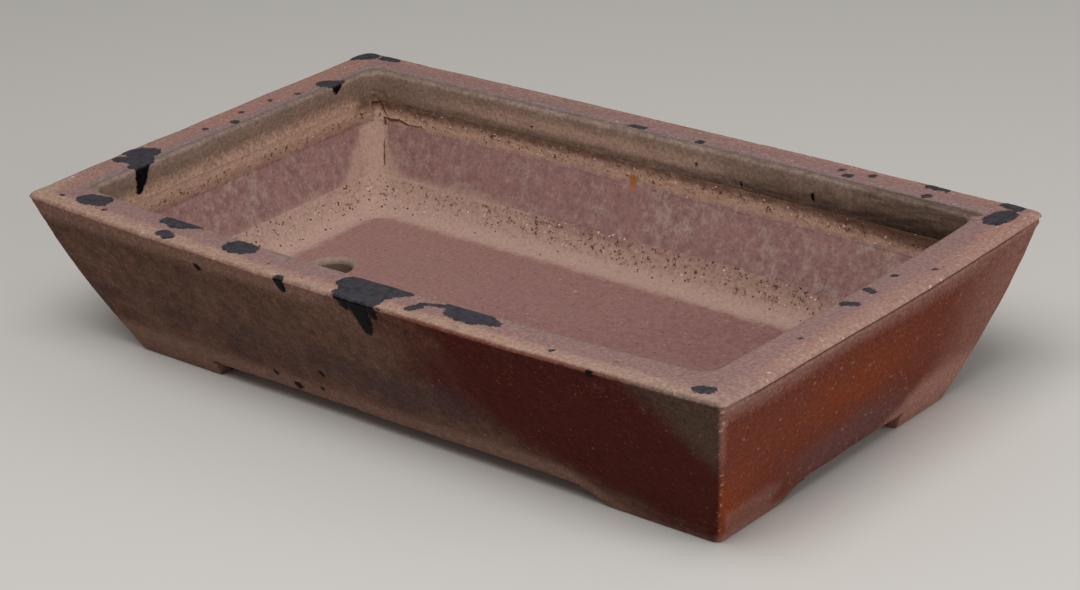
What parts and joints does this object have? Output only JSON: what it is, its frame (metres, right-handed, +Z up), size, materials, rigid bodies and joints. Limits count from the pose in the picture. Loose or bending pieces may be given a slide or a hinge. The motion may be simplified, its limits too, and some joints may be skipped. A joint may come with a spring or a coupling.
{
  "type": "rectangular bonsai pot",
  "caption": "Shallow rectangular stoneware bonsai pot with flared walls, in-turned flat rim, drained floor and cut corner feet.",
  "frame": {"origin": "on the ground, under the middle of the pot", "axes": "+X along the long side, to the right seen from the front, +Y to the back, +Z up"},
  "size_m": [0.5024, 0.294, 0.104],
  "materials": {
    "wall_stoneware": "matte",
    "rim_stoneware": "matte",
    "floor_stoneware": "matte",
    "coil_stoneware": "matte",
    "foot_stoneware": "matte"
  },
  "bodies": {
    "root": {"front_wall": "wall_stoneware", "back_wall": "wall_stoneware", "left_wall": "wall_stoneware", "right_wall": "wall_stoneware", "rim_front": "rim_stoneware", "rim_back": "rim_stoneware", "rim_left": "rim_stoneware", "rim_right": "rim_stoneware", "floor_slab": "floor_stoneware", "rim_coil_front": "coil_stoneware", "rim_coil_back": "coil_stoneware", "rim_coil_left": "coil_stoneware", "rim_coil_right": "coil_stoneware", "floor_coil_front": "coil_stoneware", "floor_coil_back": "coil_stoneware", "floor_coil_left": "coil_stoneware", "floor_coil_right": "coil_stoneware", "corner_coil_front_left": "coil_stoneware", "corner_coil_front_right": "coil_stoneware", "corner_coil_back_right": "coil_stoneware", "corner_coil_back_left": "coil_stoneware", "foot_front_left": "foot_stoneware", "foot_front_right": "foot_stoneware", "foot_back_right": "foot_stoneware", "foot_back_left": "foot_stoneware"}
  },
  "joints": []
}
